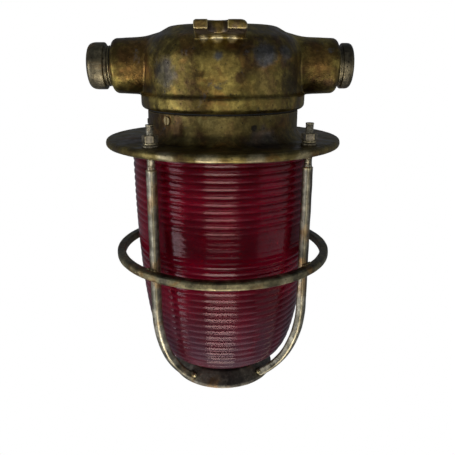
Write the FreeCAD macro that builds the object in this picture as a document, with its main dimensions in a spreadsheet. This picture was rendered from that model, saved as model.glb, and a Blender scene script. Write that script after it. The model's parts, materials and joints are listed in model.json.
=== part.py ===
"""Ceiling-mounted brass ship lantern: junction box with two cable glands, neck and flange,
ribbed glass globe, wire guard, E27 lampholder and lamp. Millimetres, +Z up, origin at the
centre of the flat top face that bears on the deckhead, glands along X."""

import FreeCAD, Part
import math
import os
import re
import Sketcher
from FreeCAD import Placement, Rotation, Vector

doc = FreeCAD.newDocument("ship_lantern")
nodes = {}

# Driving dimensions. A "drop" is a distance below the top face.
SIZES = {
    # junction box casting
    "box_radius": 61.5,
    "crown_radius": 40.0,
    "crown_rounding": 12.0,
    "slope_radius": 56.0,
    "slope_drop": 9.0,
    "slope_rounding": 12.0,
    "wall_top_drop": 20.0,
    "box_cavity_radius": 55.0,
    "cavity_shoulder": 20.0,
    "roof_thickness": 5.0,
    "bead_radius": 63.8,
    "bead_top_drop": 48.9,
    "bead_bottom_drop": 60.3,
    "bead_rounding": 4.0,
    "spigot_radius": 54.92,
    "spigot_bore": 50.0,
    "spigot_drop": 72.0,
    # mounting feet
    "foot_width": 34.4,
    "foot_offset": 1.5,
    "foot_reach": 77.0,
    "foot_edge": 5.6,
    "foot_root": 10.3,
    "foot_root_reach": 55.0,
    "foot_sharp_corner": 1.5,
    "foot_worn_corner": 4.0,
    "slot_width": 12.2,
    "slot_offset": 3.3,
    "slot_centre": 72.0,
    # cable entries
    "gland_drop": 29.0,
    "arm_flare_radius": 27.2,
    "arm_flare_reach": 40.0,
    "arm_root_radius": 21.5,
    "arm_root_reach": 60.0,
    "arm_blend": 55.0,
    "arm_radius": 20.4,
    "arm_rounding": 4.5,
    "left_arm_reach": 84.8,
    "right_arm_reach": 87.8,
    "gland_thread": 15.5,
    "thread_clearance": 0.08,
    "gland_seat_reach": 62.0,
    "gland_throat": 10.5,
    "bush_length": 12.0,
    "bush_radius": 14.9,
    "cable_radius": 5.5,
    "gland_washer_thick": 2.0,
    "gland_nut_bore": 7.0,
    # neck and flange casting
    "gasket_thick": 1.0,
    "neck_radius": 59.0,
    "neck_bore": 55.0,
    "web_top_drop": 73.0,
    "web_bottom_drop": 77.0,
    "web_hole": 12.0,
    "flange_radius": 92.5,
    "flange_top_drop": 82.4,
    "flange_bottom_drop": 88.8,
    "flange_rounding": 2.6,
    "neck_flare": 9.0,
    "globe_thread": 50.0,
    "seal_recess_radius": 71.0,
    "seal_recess_drop": 86.3,
    # lampholder and lamp, on the vertical axis
    "plate_radius": 31.5,
    "plate_screw_reach": 26.0,
    "plate_thick": 2.0,
    "holder_radius": 21.0,
    "holder_drop": 118.0,
    "shell_outer": 14.2,
    "shell_inner": 13.7,
    "shell_top_drop": 92.0,
    "shell_bottom_drop": 116.0,
    "lamp_tip_drop": 95.0,
    "lamp_cap_radius": 13.3,
    "lamp_cap_top_drop": 98.0,
    "lamp_cap_bottom_drop": 121.0,
    "lamp_radius": 30.0,
    "lamp_bottom_drop": 200.0,
    "lamp_glass_thick": 0.8,
    # glass globe
    "globe_top_drop": 89.0,
    "globe_radius": 72.3,
    "globe_wall": 5.0,
    "globe_depth": 184.0,
    "globe_thread_top_drop": 79.0,
    "rib_pitch": 5.66,
    "rib_height": 1.0,
    "fine_rib_height": 0.7,
    # guard
    "guard_radius": 79.6,
    "guard_phase": 50.7,
    "bar_width": 7.2,
    "bar_depth": 6.8,
    "bar_corner": 2.2,
    "bar_top_drop": 98.1,
    "bar_bend_drop": 206.6,
    "bar_bend_radius": 98.0,
    "bar_bend_angle": 49.5,
    "bar_tip": 7.0,
    "stud_radius": 3.0,
    "stud_hole": 3.3,
    "stud_top_drop": 66.7,
    "ring_inner": 82.0,
    "ring_outer": 88.9,
    "ring_top_drop": 173.4,
    "ring_bottom_drop": 180.2,
    "ring_rounding": 2.0,
    "cap_radius": 44.3,
    "cap_rim": 35.0,
    "cap_dish": 31.5,
    "cap_top_drop": 278.4,
    "cap_floor_drop": 284.0,
    "cap_edge_drop": 286.6,
    "cap_bottom_drop": 289.6,
    # fasteners
    "washer_radius": 6.0,
    "washer_thick": 1.6,
    "spring_washer_thick": 1.8,
    "nut_flats": 10.0,
    "nut_height": 5.0,
}
BARS = 4

sheet = doc.addObject("Spreadsheet::Sheet", "Sizes")
for row, (alias, value) in enumerate(SIZES.items(), 1):
    sheet.set(f"A{row}", alias)
    sheet.set(f"B{row}", str(value))
    sheet.setAlias(f"B{row}", alias)
doc.recompute()


# ---------------------------------------------------------------- helpers


def cell(expression):
    """The expression with each dimension's name pointed at its cell in the sheet."""
    return re.sub(r"[a-z][a-z_]+", lambda m: f"Sizes.{m[0]}" if m[0] in SIZES else m[0], str(expression))


def size(alias):
    """A dimension as a plain number, for shapes built in code."""
    return float(sheet.get(alias))


def bind(item, **expressions):
    """Bind properties of an object to the sheet; a double underscore stands for a dot."""
    for name, expression in expressions.items():
        item.setExpression(name.replace("__", "."), cell(expression))
    return item


def node(item, name):
    """Name an object as one sub-part."""
    item.Label = name
    nodes[name] = item
    return item


def at(item, x=0, y=0, z=0):
    """Bind an object's position to the sheet."""
    return bind(item, Placement__Base__x=x, Placement__Base__y=y, Placement__Base__z=z)


def cylinder(name, radius, height, x=0, y=0, z=0, axis=Vector(0, 0, 1)):
    item = doc.addObject("Part::Cylinder", name)
    item.Placement = Placement(Vector(), Rotation(Vector(0, 0, 1), axis))
    bind(item, Radius=radius, Height=height)
    return at(item, x, y, z)


def block(name, length, width, height, x=0, y=0, z=0):
    item = doc.addObject("Part::Box", name)
    bind(item, Length=length, Width=width, Height=height)
    return at(item, x, y, z)


def fuse(name, items):
    item = doc.addObject("Part::MultiFuse", name)
    item.Shapes = items
    return item


def cut(name, base, tools):
    """The base with one or more tools taken out of it."""
    item = doc.addObject("Part::Cut", name)
    item.Base = base
    item.Tool = tools[0] if len(tools) == 1 else fuse(name + "_tools", tools)
    return item


def group(name, items):
    """Identical pieces kept as separate solids in one node."""
    item = doc.addObject("Part::Compound", name)
    item.Links = items
    return item


def plane(body, role):
    return next(f for f in body.Origin.OriginFeatures if f.Role == role)


def outline(body, name, role, points):
    """A closed sketch through points given as pairs of expressions, each bound to the sheet."""
    sketch = body.newObject("Sketcher::SketchObject", name)
    sketch.AttachmentSupport = [(plane(body, role), "")]
    sketch.MapMode = "FlatFace"
    count = len(points)
    start = [Vector(50 + 40 * math.cos(k * 2 * math.pi / count), 40 * math.sin(k * 2 * math.pi / count), 0)
             for k in range(count)]
    for k in range(count):
        sketch.addGeometry(Part.LineSegment(start[k], start[(k + 1) % count]), False)
    for k in range(count):
        sketch.addConstraint(Sketcher.Constraint("Coincident", k, 2, (k + 1) % count, 1))
    for k, pair in enumerate(points):
        for kind, expression in zip(("DistanceX", "DistanceY"), pair):
            index = sketch.addConstraint(Sketcher.Constraint(kind, -1, 1, k, 1, 1.0))
            sketch.setExpression(f"Constraints[{index}]", cell(expression))
    return sketch


def circles_at(shape, point):
    """Names of the round edges that a profile corner sweeps out about the vertical axis."""
    names = []
    for index, edge in enumerate(shape.Edges, 1):
        curve = edge.Curve
        if isinstance(curve, Part.Circle) and abs(curve.Radius - point.x) < 1e-3:
            if abs(curve.Center.z - point.y) < 1e-3:
                names.append(f"Edge{index}")
    return names


def turned(name, points, rounded=(), role="XZ_Plane"):
    """A turned piece: an outline in an upright plane revolved about Z, with chosen corners rounded.
    rounded holds pairs of a corner's index and the rounding's expression."""
    body = doc.addObject("PartDesign::Body", name)
    sketch = outline(body, name + "_outline", role, points)
    revolution = body.newObject("PartDesign::Revolution", name + "_turning")
    revolution.Profile = sketch
    revolution.ReferenceAxis = (sketch, ["V_Axis"])
    revolution.Angle = 360
    doc.recompute()
    last = revolution
    for corner, radius in rounded:
        point = sketch.Geometry[corner].StartPoint
        fillet = body.newObject("PartDesign::Fillet", f"{name}_rounding")
        fillet.Base = (last, circles_at(last.Shape, point))
        fillet.setExpression("Radius", cell(radius))
        doc.recompute()
        last = fillet
    body.Tip = last
    return body


def padded(name, role, points, length):
    """An outline padded evenly to both sides of its plane."""
    body = doc.addObject("PartDesign::Body", name)
    sketch = outline(body, name + "_outline", role, points)
    pad = body.newObject("PartDesign::Pad", name + "_pad")
    pad.Profile = sketch
    pad.Midplane = True
    pad.setExpression("Length", cell(length))
    body.Tip = pad
    doc.recompute()
    return body


def rounded_solid(name, base, chosen, radius):
    """A solid with the edges that the test picks rounded."""
    doc.recompute()
    item = doc.addObject("Part::Fillet", name)
    item.Base = base
    edges = [i for i, edge in enumerate(base.Shape.Edges, 1) if chosen(edge)]
    item.Edges = [(i, size(radius), size(radius)) for i in edges]
    doc.recompute()
    return item


# ---------------------------------------------------------------- junction box


def along_x(body, sign):
    """Lay a piece turned about Z along the gland's axis, its upper end outwards."""
    body.Placement = Placement(Vector(), Rotation(Vector(0, 0, 1), Vector(sign, 0, 0)))
    return bind(body, Placement__Base__z="-gland_drop")


def make_arm(side, reach):
    """One cable entry's arm: a thick tapered stub, flared where it leaves the box, with a rounded end."""
    sign = -1 if side == "left" else 1
    arm = turned(f"arm_{side}", [
        (0, 20),
        ("arm_flare_radius", "arm_flare_reach"),
        ("arm_root_radius", "arm_root_reach"),
        ("arm_radius", reach),
        (0, reach),
    ], [(2, "arm_blend"), (3, "arm_rounding")])
    return along_x(arm, sign)


def make_entry_bores(side, reach):
    """The threaded mouth for the gland nut and the throat that opens into the box."""
    sign = -1 if side == "left" else 1
    axis = Vector(sign, 0, 0)
    mouth = cylinder(f"mouth_{side}", "gland_thread", f"{reach} - gland_seat_reach + 1",
                     x=f"{sign} * gland_seat_reach", z="-gland_drop", axis=axis)
    throat = cylinder(f"throat_{side}", "gland_throat", "gland_seat_reach",
                      z="-gland_drop", axis=axis)
    return [mouth, throat]


def make_foot_slot(sign):
    """An open slot through one mounting foot, from above."""
    centre = f"{sign} * slot_centre"
    round_end = cylinder("slot_end", "slot_width / 2", "foot_root + 2",
                         x="-slot_offset", y=centre, z="-foot_root - 1")
    near_edge = "slot_centre" if sign > 0 else "-slot_centre - 10"
    straight = block("slot_run", "slot_width", 10, "foot_root + 2",
                     x="-slot_offset - slot_width / 2", y=near_edge, z="-foot_root - 1")
    return fuse("foot_slot", [round_end, straight])


def round_feet(pads):
    """The feet with one long upper edge nearly sharp and the other worn round."""
    half = size("foot_width") / 2
    offset = size("foot_offset")

    def upper_edge(edge, side):
        middle = edge.CenterOfMass
        return abs(middle.z) < 0.01 and abs(middle.x + offset - side * half) < 0.01

    sharp = rounded_solid("feet_sharp_edge", pads, lambda edge: upper_edge(edge, -1), "foot_sharp_corner")
    return rounded_solid("feet_worn_edge", sharp, lambda edge: upper_edge(edge, 1), "foot_worn_corner")


def make_junction_box():
    """The cast box: domed body, bead, screwed spigot, two arms and two slotted feet."""
    dome = turned("dome", [
        (0, 0),
        ("crown_radius", 0),
        ("slope_radius", "-slope_drop"),
        ("box_radius", "-wall_top_drop"),
        ("box_radius", "-bead_bottom_drop + 4"),
        (0, "-bead_bottom_drop + 4"),
    ], [(1, "crown_rounding"), (2, "slope_rounding"), (3, "slope_rounding")], role="YZ_Plane")
    bead = turned("bead", [
        (0, "-bead_top_drop"),
        ("bead_radius", "-bead_top_drop"),
        ("bead_radius", "-bead_bottom_drop"),
        ("spigot_radius", "-bead_bottom_drop"),
        ("spigot_radius", "-spigot_drop"),
        (0, "-spigot_drop"),
    ], [(2, "bead_rounding"), (1, "bead_rounding / 3")])
    pads = padded("foot_pads", "YZ_Plane", [
        ("-foot_reach", 0),
        ("foot_reach", 0),
        ("foot_reach", "-foot_edge"),
        ("foot_root_reach", "-foot_root"),
        ("-foot_root_reach", "-foot_root"),
        ("-foot_reach", "-foot_edge"),
    ], "foot_width")
    at(pads, x="-foot_offset")
    feet = round_feet(pads)
    arms = [make_arm("left", "left_arm_reach"), make_arm("right", "right_arm_reach")]
    cavity = turned("cavity", [
        (0, "-roof_thickness"),
        ("box_cavity_radius", "-roof_thickness"),
        ("box_cavity_radius", "-bead_top_drop"),
        ("spigot_bore", "-bead_top_drop - 5"),
        ("spigot_bore", "-spigot_drop - 1"),
        (0, "-spigot_drop - 1"),
    ], [(1, "cavity_shoulder")])
    posts = [cylinder("terminal_post", 4.5, 7, x=f"{sign * 13}", z="-roof_thickness - 6.9")
             for sign in (-1, 1)]
    earth_post = cylinder("earth_post", 5, 8, y=32, z="-roof_thickness - 7.9")
    solid = fuse("box_solid", [dome, bead, feet] + arms)
    hollow = cut("box_hollow", solid, [cavity])
    posted = fuse("box_posted", [hollow, earth_post] + posts)
    holes = [cylinder("terminal_post_hole", 1.7, 7, x=f"{sign * 13}", z="-roof_thickness - 7")
             for sign in (-1, 1)]
    holes.append(cylinder("earth_hole", 2.1, 8, y=32, z="-roof_thickness - 8"))
    holes += make_entry_bores("left", "left_arm_reach") + make_entry_bores("right", "right_arm_reach")
    holes += [make_foot_slot(1), make_foot_slot(-1)]
    node(cut("junction_box_casting", posted, holes), "junction_box")


# ---------------------------------------------------------------- neck and flange


def around(k, radius):
    """Position expressions for the k-th place round the guard's circle."""
    angle = f"guard_phase + {k * 360 // BARS}"
    return f"{radius} * cos({angle})", f"{radius} * sin({angle})"


LOCK_ANGLE = -133.0
LOCK_DROP = 66.3


def toward(angle):
    """Unit vector in the XY plane at an angle from +X."""
    return Vector(math.cos(math.radians(angle)), math.sin(math.radians(angle)), 0)


def radial_cylinder(name, radius, start, length, angle, drop):
    """A cylinder that lies along a radius, from start outwards."""
    direction = toward(angle)
    return cylinder(name, radius, length, x=f"{direction.x} * ({start})", y=f"{direction.y} * ({start})",
                    z=-drop, axis=direction)


def make_neck_flange():
    """The cast neck screwed onto the box's spigot, with the broad flange below it."""
    turning = turned("neck_turning", [
        ("web_hole", "-web_top_drop"),
        ("neck_bore", "-web_top_drop"),
        ("neck_bore", "-bead_bottom_drop - gasket_thick"),
        ("neck_radius", "-bead_bottom_drop - gasket_thick"),
        ("neck_radius", "-flange_top_drop"),
        ("flange_radius", "-flange_top_drop"),
        ("flange_radius", "-flange_bottom_drop"),
        ("seal_recess_radius", "-flange_bottom_drop"),
        ("seal_recess_radius", "-seal_recess_drop"),
        ("globe_thread", "-seal_recess_drop"),
        ("globe_thread", "-web_bottom_drop"),
        ("web_hole", "-web_bottom_drop"),
    ], [(4, "neck_flare"), (5, "flange_rounding"), (6, "flange_rounding")])
    holes = []
    for k in range(BARS):
        x, y = around(k, "guard_radius")
        holes.append(cylinder("stud_hole", "stud_hole", 9, x, y, "-flange_bottom_drop - 1"))
    holes += [cylinder("holder_screw_hole", 2.1, 6, x=f"{sign} * plate_screw_reach", z="-web_bottom_drop - 1")
              for sign in (-1, 1)]
    holes.append(radial_cylinder("lock_hole", 3.0, "spigot_radius - 1.5", 9, LOCK_ANGLE, LOCK_DROP))
    node(cut("neck_flange_casting", turning, holes), "neck_flange")


def make_body_gasket():
    """The thin joint ring that shows as a dark line below the bead."""
    node(turned("body_joint_ring", [
        ("neck_bore + 0.2", "-bead_bottom_drop"),
        ("neck_radius - 0.4", "-bead_bottom_drop"),
        ("neck_radius - 0.4", "-bead_bottom_drop - gasket_thick"),
        ("neck_bore + 0.2", "-bead_bottom_drop - gasket_thick"),
    ]), "body_gasket")


def make_lock_screw():
    """The slotted grub screw that keeps the neck from unscrewing."""
    direction = toward(LOCK_ANGLE)
    screw = radial_cylinder("lock_screw_shank", 2.95, "spigot_radius", 4.6, LOCK_ANGLE, LOCK_DROP)
    slot = block("lock_screw_slot", 1.6, 1.0, 8, x=-0.8, y=-0.5, z=-4)
    slot.Placement = Placement(Vector(), Rotation(Vector(0, 0, 1), LOCK_ANGLE))
    at(slot, f"{direction.x} * 59 - {direction.y} * -0.5", f"{direction.y} * 59 + {direction.x} * -0.5",
       -LOCK_DROP - 4)
    node(cut("lock_screw_slotted", screw, [slot]), "neck_lock_screw")


# ---------------------------------------------------------------- cable glands

NUT_HEAD_RADIUS = {"left": 17.6, "right": 17.0}
NUT_HEAD_LENGTH = {"left": 13.0, "right": 8.4}
NUT_STAND_OFF = {"left": 5.2, "right": 2.8}


def make_gland(side, reach):
    """Rubber bush, thrust washer and hollow gland nut of one cable entry."""
    sign = -1 if side == "left" else 1
    head = NUT_HEAD_RADIUS[side]
    head_start = f"{reach} + {NUT_STAND_OFF[side]}"
    head_end = f"{reach} + {NUT_STAND_OFF[side] + NUT_HEAD_LENGTH[side]}"
    bush_end = "gland_seat_reach + bush_length"
    washer_end = f"{bush_end} + gland_washer_thick"
    bush = turned(f"bush_{side}", [
        ("cable_radius", "gland_seat_reach"),
        ("bush_radius", "gland_seat_reach"),
        ("bush_radius", bush_end),
        ("cable_radius", bush_end),
    ])
    washer = turned(f"washer_{side}", [
        ("gland_nut_bore", bush_end),
        ("bush_radius", bush_end),
        ("bush_radius", washer_end),
        ("gland_nut_bore", washer_end),
    ])
    nut = turned(f"nut_{side}", [
        ("gland_nut_bore", washer_end),
        ("gland_thread - thread_clearance", washer_end),
        ("gland_thread - thread_clearance", head_start),
        (head, head_start),
        (head, head_end),
        ("gland_nut_bore", head_end),
    ], [(4, min(7.0, NUT_HEAD_LENGTH[side] - 3)), (3, 1.3)])
    for piece, name in ((bush, "gland_bush"), (washer, "gland_washer"), (nut, "gland_nut")):
        node(along_x(piece, sign), f"{name}_{side}")


# ---------------------------------------------------------------- terminals and wires


def slotted_screw(name, radius, length, head_radius, head_height, x, y, head_top):
    """A slotted screw whose head faces down, its shank rising from the head."""
    shank = cylinder(name + "_shank", radius, length, x, y, head_top)
    head = cylinder(name + "_head", head_radius, head_height, x, y, f"{head_top} - {head_height}")
    slot = block(name + "_slot", 2 * head_radius + 1, 0.9, 0.9,
                 x=f"{x} - {head_radius + 0.5}", y=f"{y} - 0.45", z=f"{head_top} - {head_height}")
    return cut(name, fuse(name + "_solid", [shank, head]), [slot])


BLOCK_TOP = 12.0
BLOCK_HEIGHT = 14.0
POLE_OFFSET = 5.0


def make_terminals():
    """Porcelain two-pole block under the roof, its brass barrels, screws and the earth screw."""
    body = block("terminal_body", 36, 18, BLOCK_HEIGHT, x=-18, y=-9, z=-BLOCK_TOP - BLOCK_HEIGHT)
    bores = [cylinder("block_bore", 2.2, BLOCK_HEIGHT + 2, x=f"{s * 13}", z=-BLOCK_TOP - BLOCK_HEIGHT - 1)
             for s in (-1, 1)]
    wells = [cylinder("barrel_well", 3.2, 20, x=f"{s * POLE_OFFSET}", y=-10, z=-BLOCK_TOP - 6,
                      axis=Vector(0, 1, 0)) for s in (-1, 1)]
    screw_wells = [cylinder("screw_well", 2.2, 12, x=f"{s * POLE_OFFSET}", z=-BLOCK_TOP - BLOCK_HEIGHT - 1)
                   for s in (-1, 1)]
    node(cut("terminal_porcelain", body, bores + wells + screw_wells), "terminal_block")
    barrels = []
    for s in (-1, 1):
        x = s * POLE_OFFSET
        tube = cylinder("barrel", 3.2, 14, x=x, y=-7, z=-BLOCK_TOP - 6, axis=Vector(0, 1, 0))
        bore = cylinder("barrel_bore", 1.8, 16, x=x, y=-8, z=-BLOCK_TOP - 6, axis=Vector(0, 1, 0))
        screw = cylinder("barrel_screw", 1.9, 6, x=x, z=-BLOCK_TOP - BLOCK_HEIGHT + 1)
        barrels += [cut("terminal_barrel", fuse("barrel_solid", [tube, screw]), [bore])]
    node(group("terminal_barrel_pair", barrels), "terminal_barrels")
    screws = [slotted_screw("block_screw", 1.65, BLOCK_HEIGHT + 5, 3.4, 2.4, s * 13, 0,
                            -BLOCK_TOP - BLOCK_HEIGHT) for s in (-1, 1)]
    node(group("block_screw_pair", screws), "terminal_block_screws")
    node(slotted_screw("earth_screw_solid", 2.05, 7, 4.2, 2.8, 0, 32, -12.9), "earth_screw")


def wire_shape(points, radius):
    """A round wire through points: straight runs joined by tangent arcs."""
    edges = []
    start = points[0]
    for before, corner, after in zip(points, points[1:], points[2:]):
        into = (corner - before).normalize()
        out = (after - corner).normalize()
        turn = into.getAngle(out)
        reach = 0.45 * min((corner - before).Length, (after - corner).Length)
        bend = reach / math.tan(turn / 2)
        first = corner - into * reach
        last = corner + out * reach
        middle = corner + (out - into).normalize() * (bend / math.cos(turn / 2) - bend)
        edges += [Part.LineSegment(start, first).toShape(), Part.Arc(first, middle, last).toShape()]
        start = last
    edges.append(Part.LineSegment(start, points[-1]).toShape())
    path = Part.Wire(edges)
    direction = (points[1] - points[0]).normalize()
    section = Part.Wire(Part.makeCircle(radius, points[0], direction))
    return path.makePipeShell([section], True, False)


WIRE_RADIUS = 1.4


def make_wires():
    """Two insulated wires from the terminal barrels down to the lampholder's contacts."""
    for name, s in (("wire_live", -1), ("wire_neutral", 1)):
        x = s * POLE_OFFSET
        route = [
            Vector(x, -2.5, -BLOCK_TOP - 6),
            Vector(x, -16, -BLOCK_TOP - 6),
            Vector(x * 1.4, -19, -34),
            Vector(x * 1.4, -14, -50),
            Vector(x * 1.2, -6, -63),
            Vector(x * 1.1, 0, -75),
            Vector(x * 1.1, 0, -81.5),
        ]
        feature = doc.addObject("Part::Feature", name + "_run")
        feature.Shape = wire_shape(route, WIRE_RADIUS)
        node(feature, name)


# ---------------------------------------------------------------- lampholder


def make_lampholder():
    """Porcelain E27 holder hung from the neck's web by a brass plate and two screws."""
    plate_bottom = "-web_bottom_drop - plate_thick"
    plate = turned("plate", [
        ("web_hole", "-web_bottom_drop"),
        ("plate_radius", "-web_bottom_drop"),
        ("plate_radius", plate_bottom),
        ("web_hole", plate_bottom),
    ])
    plate_holes = [cylinder("plate_hole", 2.1, 6, x=f"{s} * plate_screw_reach", z=f"{plate_bottom} - 1")
                   for s in (-1, 1)]
    node(cut("plate_drilled", plate, plate_holes), "lampholder_plate")
    screws = [slotted_screw("holder_screw", 2.0, 5.5, 3.9, 2.6, s * size("plate_screw_reach"), 0, plate_bottom)
              for s in (-1, 1)]
    node(group("holder_screw_pair", screws), "lampholder_screws")

    body = turned("holder_turning", [
        (0, plate_bottom),
        ("holder_radius", plate_bottom),
        ("holder_radius", "-holder_drop"),
        ("shell_outer + 0.3", "-holder_drop"),
        ("shell_outer", "-shell_bottom_drop"),
        ("shell_outer", "-shell_top_drop + 1.4"),
        (0, "-shell_top_drop + 1.4"),
    ], [(1, 4.0), (2, 2.0)])
    wire_wells = [cylinder("wire_well", WIRE_RADIUS + 0.1, 16, x=f"{s * POLE_OFFSET * 1.1}",
                           z=f"{plate_bottom} - 12") for s in (-1, 1)]
    node(cut("holder_body", body, wire_wells), "lampholder_body")

    shell = turned("shell_turning", [
        ("shell_inner", "-shell_top_drop"),
        ("shell_outer", "-shell_top_drop"),
        ("shell_outer", "-shell_bottom_drop"),
        ("shell_inner", "-shell_bottom_drop"),
    ])
    node(shell, "lampholder_shell")
    contact = turned("contact_turning", [
        (0, "-shell_top_drop + 1.4"),
        (6, "-shell_top_drop + 1.4"),
        (6, "-shell_top_drop + 0.8"),
        (2.5, "-lamp_tip_drop + 0.3"),
        (0, "-lamp_tip_drop + 0.3"),
    ])
    node(contact, "lampholder_contact")


# ---------------------------------------------------------------- lamp


def curve(points):
    """A smooth edge through points."""
    spline = Part.BSplineCurve()
    spline.interpolate(points)
    return spline.toShape()


def revolve_outline(name, edges):
    """A solid turned about Z from edges that close on themselves, for outlines with free curves."""
    face = Part.Face(Part.Wire(edges))
    feature = doc.addObject("Part::Feature", name)
    feature.Shape = Part.makeSolid(Part.Shell(face.revolve(Vector(), Vector(0, 0, 1), 360).Faces))
    return feature


def bulb_radius(share, inset):
    """Radius of the lamp's glass at a share of the way from its neck to its tip."""
    widest = size("lamp_radius") - inset
    neck = 12.2 - inset
    if share < 0.62:
        return neck + (widest - neck) * (1 - math.cos(math.pi * share / 0.62)) / 2
    return widest * math.sqrt(max(0.0, 1 - ((share - 0.62) / 0.38) ** 2))


def bulb_curve(inset):
    top = -size("lamp_cap_bottom_drop") + 2
    length = size("lamp_bottom_drop") + top - inset
    shares = [0, 0.1, 0.2, 0.3, 0.4, 0.5, 0.62, 0.72, 0.82, 0.9, 0.96, 0.99, 1.0]
    return [Vector(bulb_radius(u, inset), 0, top - length * u) for u in shares]


def make_lamp():
    """The E27 lamp: cap, insulator, tip, envelope, stem and filament."""
    outer = bulb_curve(0)
    inner = bulb_curve(size("lamp_glass_thick"))
    node(revolve_outline("envelope_turning", [
        curve(outer),
        Part.LineSegment(outer[-1], inner[-1]).toShape(),
        curve(inner[::-1]),
        Part.LineSegment(inner[0], outer[0]).toShape(),
    ]), "lamp_envelope")
    cap = turned("cap_turning", [
        (9, "-lamp_cap_top_drop - 0.5"),
        ("lamp_cap_radius", "-lamp_cap_top_drop - 3"),
        ("lamp_cap_radius", "-lamp_cap_bottom_drop"),
        ("lamp_cap_radius - 0.6", "-lamp_cap_bottom_drop"),
        ("lamp_cap_radius - 0.6", "-lamp_cap_top_drop - 3.4"),
        (9, "-lamp_cap_top_drop - 1.1"),
    ])
    node(cap, "lamp_cap")
    insulator = turned("insulator_turning", [
        (4.6, "-lamp_tip_drop - 0.9"),
        (9, "-lamp_cap_top_drop - 0.5"),
        (9, "-lamp_cap_top_drop - 1.1"),
        (4.6, "-lamp_tip_drop - 2.4"),
    ])
    node(insulator, "lamp_insulator")
    tip = turned("tip_turning", [
        (0, "-lamp_tip_drop"),
        (2.6, "-lamp_tip_drop"),
        (4.6, "-lamp_tip_drop - 0.9"),
        (4.6, "-lamp_tip_drop - 2.4"),
        (0, "-lamp_tip_drop - 2.4"),
    ])
    node(tip, "lamp_tip")
    flare = turned("stem_turning", [
        (0, "-lamp_cap_bottom_drop + 9"),
        (10.4, "-lamp_cap_bottom_drop + 1.4"),
        (3.2, "-lamp_cap_bottom_drop - 7"),
        (2.4, "-lamp_cap_bottom_drop - 25"),
        (0, "-lamp_cap_bottom_drop - 25"),
    ])
    node(cut("stem_with_leads", flare, [make_filament()]), "lamp_stem")


FILAMENT_DROP = 166.0
FILAMENT_RADIUS = 13.0


def make_filament():
    """Two lead wires, spread from the stem, and the zig-zag filament between them."""
    leads = []
    for s in (-1, 1):
        start = Vector(s * 1.3, 0, -145.5)
        end = Vector(s * FILAMENT_RADIUS, 0, -FILAMENT_DROP)
        direction = end - start
        leads.append(Part.makeCylinder(0.35, direction.Length, start, direction))
    for k in range(1, 4):
        angle = math.pi * k / 4
        end = Vector(-FILAMENT_RADIUS * math.cos(angle), FILAMENT_RADIUS * 0.6 * math.sin(angle),
                     -FILAMENT_DROP)
        start = Vector(0, 0, -145.5)
        leads.append(Part.makeCylinder(0.25, (end - start).Length, start, end - start))
    arc = Part.Arc(Vector(-FILAMENT_RADIUS, 0, -FILAMENT_DROP),
                   Vector(0, FILAMENT_RADIUS * 0.6, -FILAMENT_DROP),
                   Vector(FILAMENT_RADIUS, 0, -FILAMENT_DROP)).toShape()
    section = Part.Wire(Part.makeCircle(0.5, arc.valueAt(arc.FirstParameter), arc.tangentAt(arc.FirstParameter)))
    coil = Part.Wire(arc).makePipeShell([section], True, False)
    feature = doc.addObject("Part::Feature", "filament_wires")
    feature.Shape = coil.multiFuse(leads)
    return node(feature, "lamp_filament")


# ---------------------------------------------------------------- globe

BELT_TOP_DROP = 145.1
BELT_BOTTOM_DROP = 171.0
GLOBE_CURVE_TOP = 117.4
GLOBE_CURVE_DEPTH = 155.0
CURVE_POWER = 1.6
CORNER_POWER = 7.9
LAST_RIB_SHARE = 0.965


def globe_outer_radius(drop):
    """Valley radius of the globe at a depth: nearly straight, then a full round shoulder."""
    if drop <= GLOBE_CURVE_TOP:
        return size("globe_radius") - 0.4 * (drop - size("globe_top_drop")) / (GLOBE_CURVE_TOP - size("globe_top_drop"))
    share = min(1.0, (drop - GLOBE_CURVE_TOP) / GLOBE_CURVE_DEPTH)
    return (size("globe_radius") - 0.4) * (1 - share ** CURVE_POWER) ** (1 / CORNER_POWER)


def rib_arc(top, bottom, height):
    """One moulded rib: an arc that bulges outwards between two valleys."""
    first = Vector(globe_outer_radius(top) - height, 0, -top)
    last = Vector(globe_outer_radius(bottom) - height, 0, -bottom)
    chord = last - first
    outward = Vector(-chord.z, 0, chord.x).normalize()
    return Part.Arc(first, (first + last) * 0.5 + outward * height, last).toShape()


def rib_run(start, stop, height):
    """Ribs of even pitch between two depths."""
    count = round((stop - start) / size("rib_pitch"))
    step = (stop - start) / count
    return [rib_arc(start + k * step, start + (k + 1) * step, height) for k in range(count)]


def link(edges):
    """The edges with short straight pieces added wherever two of them don't meet."""
    linked = []
    for edge in edges:
        if linked:
            gap_start = linked[-1].valueAt(linked[-1].LastParameter)
            gap_end = edge.valueAt(edge.FirstParameter)
            if gap_start.distanceToPoint(gap_end) > 1e-4:
                linked.append(Part.LineSegment(gap_start, gap_end).toShape())
        linked.append(edge)
    return linked


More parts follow.
